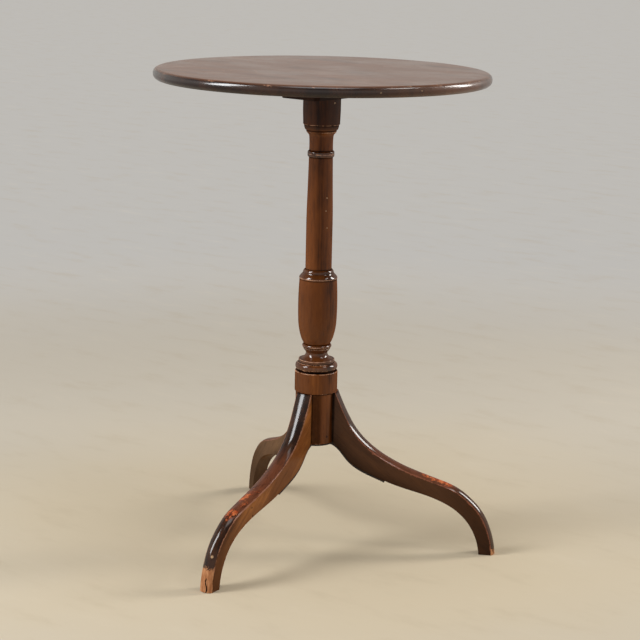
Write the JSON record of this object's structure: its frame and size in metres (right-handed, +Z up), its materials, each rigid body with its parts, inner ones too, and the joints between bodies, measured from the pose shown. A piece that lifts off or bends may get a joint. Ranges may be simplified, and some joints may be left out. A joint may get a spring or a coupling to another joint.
{
  "type": "tilt-top pedestal table",
  "caption": "Small round tilt-top pedestal table: turned baluster column on splayed S-curved legs, with a top that locks level by a sprung catch and swings upright on wooden pivots",
  "frame": {"origin": "On the floor, z = 0, under the middle of the table's box. The column's axis stands at y = 0.016, because the front leg reaches further out than the top", "axes": "+Z up along the column. The front leg and the catch are at -Y, and the pivots, where the tilted top hangs, are at +Y"},
  "size_m": [0.4959, 0.528, 0.725],
  "materials": {
    "mahogany": "old French polish, glossy on the column and legs, duller on the top",
    "pale_wood": "bare hardwood",
    "brass": "tarnished, worn bright on the knob",
    "iron": "dark, lightly rusted",
    "steel": "dulled"
  },
  "bodies": {
    "stand": {"column": "mahogany", "tilt_block": "mahogany", "pivot_dowels": "pale_wood", "tenon_wedge": "pale_wood", "strike_plate": "brass", "strike_screws": "steel", "leg_front": "mahogany", "leg_right": "mahogany", "leg_left": "mahogany", "brace_plate": "iron", "brace_screws": "steel"},
    "top": {"tabletop": "mahogany", "bearer_right": "mahogany", "bearer_left": "mahogany", "bearer_screws": "steel", "catch_case": "brass", "catch_spring": "steel", "catch_screws": "steel"},
    "bolt": {"catch_bolt": "brass", "catch_knob": "brass"}
  },
  "joints": [
    {"name": "top_tilt", "type": "hinge", "parent": "stand", "child": "top", "pos_m": [0, 0.06227, 0.7], "axis": [-1, 0, 0], "range_deg": [0, 90]},
    {"name": "catch_slide", "type": "slide", "parent": "top", "child": "bolt", "axis": [0, 1, 0], "range_m": [0, 0.008], "stiffness_N_per_m": 150, "springref_m": 0.01}
  ]
}
